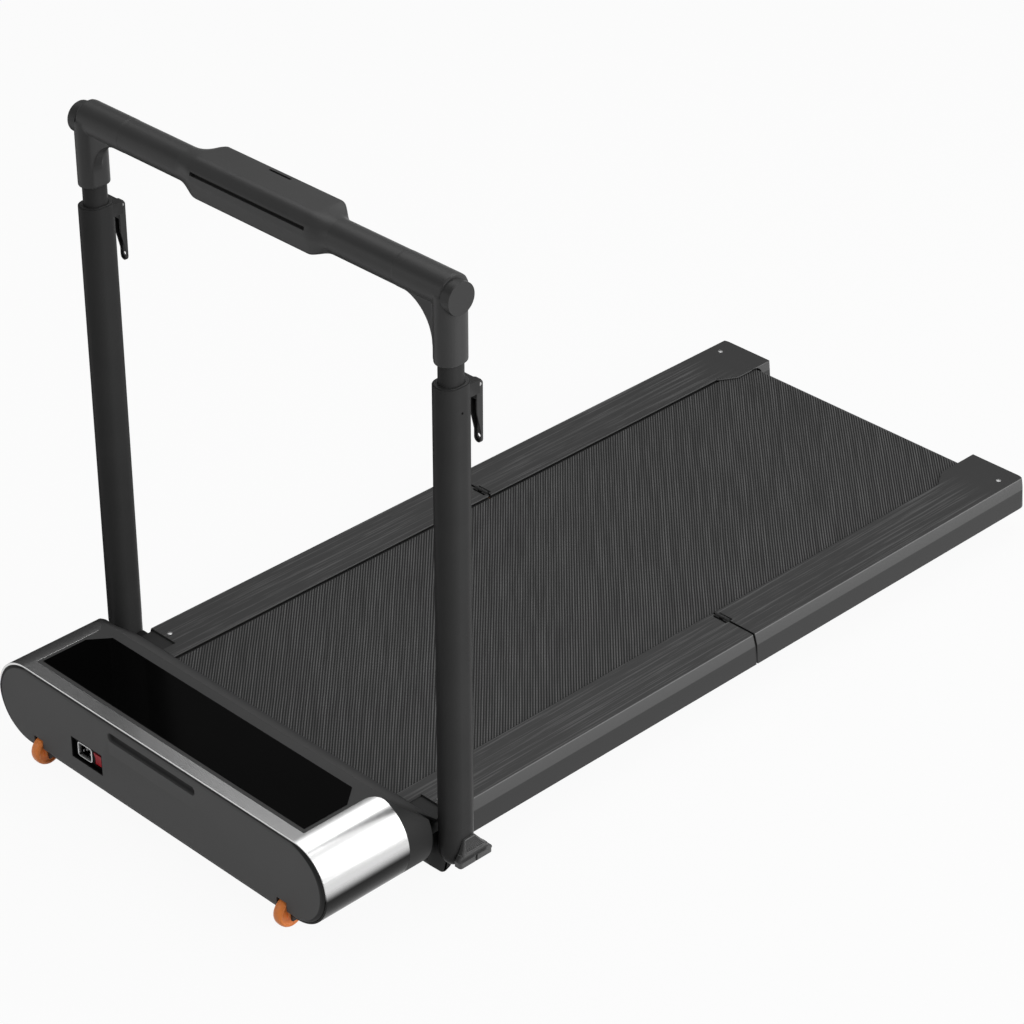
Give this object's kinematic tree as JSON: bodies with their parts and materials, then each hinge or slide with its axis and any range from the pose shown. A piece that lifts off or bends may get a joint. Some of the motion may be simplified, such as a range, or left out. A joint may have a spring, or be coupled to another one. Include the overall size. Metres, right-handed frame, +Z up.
{
  "type": "walking pad",
  "caption": "Folding walking pad with a belt deck hinged in the middle, a motor housing with a black glass display, and an upright handrail on folding telescopic posts.",
  "frame": {"origin": "on the floor, under the middle of the bounding box", "axes": "+X to the right across the pad, +Y along the belt from the motor housing to the rear end, +Z up"},
  "size_m": [0.726, 1.449, 0.888],
  "materials": {
    "silver_cover": "satin silver",
    "dark_cover": "fine textured dark grey",
    "display_glass": "polished black back-printed glass",
    "circuit_board": "green solder mask",
    "motor_black": "satin black",
    "inlet_black": "moulded black",
    "switch_red": "gloss red",
    "rail_dark": "dark grey with long fine grooves",
    "belt_rubber": "matte black, fine diamond tread",
    "drive_rubber": "ribbed black",
    "foot_rubber": "matte black",
    "deck_wood": "waxed fibreboard",
    "frame_black": "satin black powder coat",
    "plain_steel": "turned steel",
    "dark_screw": "black oxide",
    "post_black": "satin black powder coat",
    "fitting_black": "fine textured black",
    "grip_dark": "soft matte dark grey",
    "console_dark": "fine textured dark grey",
    "key_dark": "smooth dark grey",
    "wheel_orange": "satin orange"
  },
  "bodies": {
    "base": {"front_plate": "dark_cover", "upper_cover": "silver_cover", "lower_tray": "silver_cover", "shoulder_cover": "dark_cover", "display_glass": "display_glass", "display_board": "circuit_board", "drive_motor": "motor_black", "control_board": "circuit_board", "power_inlet": "inlet_black", "drive_belt": "drive_rubber", "roller_plates": "frame_black", "drive_bearings": "plain_steel", "front_side_tubes": "frame_black", "front_cross_members": "frame_black", "front_deck_board": "deck_wood", "front_belt": "belt_rubber", "front_rail_left": "rail_dark", "front_rail_right": "rail_dark", "front_feet": "foot_rubber", "hinge_front_leaves": "dark_screw", "post_brackets": "frame_black", "wheel_housings": "fitting_black", "front_screws": "dark_screw"},
    "drive_roller": {"drive_roller": "plain_steel", "drive_pulley": "plain_steel"},
    "motor_pulley": {"motor_pulley": "plain_steel"},
    "wheel_left": {"wheel_left": "wheel_orange"},
    "wheel_right": {"wheel_right": "wheel_orange"},
    "power_switch": {"power_switch": "switch_red"},
    "rear_deck": {"rear_side_tubes": "frame_black", "rear_cross_members": "frame_black", "rear_deck_board": "deck_wood", "rear_belt": "belt_rubber", "rear_rail_left": "rail_dark", "rear_rail_right": "rail_dark", "rear_feet": "foot_rubber", "hinge_rear_leaves": "dark_screw", "idler_plates": "frame_black", "tension_screws": "plain_steel", "rear_screws": "dark_screw", "idler_axle": "plain_steel"},
    "idler_roller": {"idler_roller": "plain_steel"},
    "handrail": {"post_tube_left": "post_black", "post_tube_right": "post_black", "post_feet": "fitting_black", "guide_bushes": "fitting_black", "clamp_pins": "plain_steel"},
    "clamp_lever_left": {"clamp_lever_left": "fitting_black"},
    "clamp_lever_right": {"clamp_lever_right": "fitting_black"},
    "lock_knob_left": {"lock_knob_left": "fitting_black"},
    "lock_knob_right": {"lock_knob_right": "fitting_black"},
    "handle": {"inner_tubes": "post_black", "handlebar": "grip_dark", "elbows": "fitting_black", "end_caps": "fitting_black", "console_shell": "console_dark", "console_panel": "console_dark"},
    "start_button": {"start_button": "key_dark"},
    "plus_button": {"plus_button": "key_dark"},
    "minus_button": {"minus_button": "key_dark"}
  },
  "joints": [
    {"name": "deck_fold", "type": "hinge", "parent": "base", "child": "rear_deck", "pos_m": [0, 0.1156, 0.0876], "axis": [1, 0, 0], "range_deg": [0, 180]},
    {"name": "handrail_fold", "type": "hinge", "parent": "base", "child": "handrail", "pos_m": [0, -0.4905, 0.062], "axis": [-1, 0, 0], "range_deg": [0, 84]},
    {"name": "handle_slide", "type": "slide", "parent": "handrail", "child": "handle", "axis": [0, 0, 1], "range_m": [-0.027, 0.12]},
    {"name": "lever_left_turn", "type": "hinge", "parent": "handrail", "child": "clamp_lever_left", "pos_m": [-0.335, -0.451, 0.727], "axis": [1, 0, 0], "range_deg": [0, 100]},
    {"name": "lever_right_turn", "type": "hinge", "parent": "handrail", "child": "clamp_lever_right", "pos_m": [0.335, -0.451, 0.727], "axis": [1, 0, 0], "range_deg": [0, 100]},
    {"name": "knob_left_turn", "type": "hinge", "parent": "base", "child": "lock_knob_left", "pos_m": [-0.36, -0.4905, 0.062], "axis": [1, 0, 0], "range_deg": [0, 90]},
    {"name": "knob_right_turn", "type": "hinge", "parent": "base", "child": "lock_knob_right", "pos_m": [0.36, -0.4905, 0.062], "axis": [1, 0, 0], "range_deg": [0, 90]},
    {"name": "wheel_left_spin", "type": "hinge", "parent": "base", "child": "wheel_left", "pos_m": [-0.2475, -0.7025, 0.0245], "axis": [1, 0, 0], "continuous": true},
    {"name": "wheel_right_spin", "type": "hinge", "parent": "base", "child": "wheel_right", "pos_m": [0.2475, -0.7025, 0.0245], "axis": [1, 0, 0], "continuous": true},
    {"name": "drive_spin", "type": "hinge", "parent": "base", "child": "drive_roller", "pos_m": [0, -0.545, 0.0644], "axis": [1, 0, 0], "continuous": true},
    {"name": "motor_spin", "type": "hinge", "parent": "base", "child": "motor_pulley", "pos_m": [0.235, -0.64, 0.088], "axis": [1, 0, 0], "continuous": true},
    {"name": "idler_spin", "type": "hinge", "parent": "rear_deck", "child": "idler_roller", "pos_m": [0, 0.682, 0.0644], "axis": [1, 0, 0], "continuous": true},
    {"name": "switch_rock", "type": "hinge", "parent": "base", "child": "power_switch", "pos_m": [-0.1215, -0.703, 0.072], "axis": [-1, 0, 0], "range_deg": [0, 12]},
    {"name": "start_press", "type": "slide", "parent": "handle", "child": "start_button", "axis": [0, -1, 0], "range_m": [0, 0.001], "stiffness_N_per_m": 1500},
    {"name": "plus_press", "type": "slide", "parent": "handle", "child": "plus_button", "axis": [0, -1, 0], "range_m": [0, 0.001], "stiffness_N_per_m": 1500},
    {"name": "minus_press", "type": "slide", "parent": "handle", "child": "minus_button", "axis": [0, -1, 0], "range_m": [0, 0.001], "stiffness_N_per_m": 1500}
  ],
  "couplings": [
    {"joint": "motor_spin", "follows": "drive_spin", "ratio": 2.5},
    {"joint": "idler_spin", "follows": "drive_spin", "ratio": 1}
  ]
}
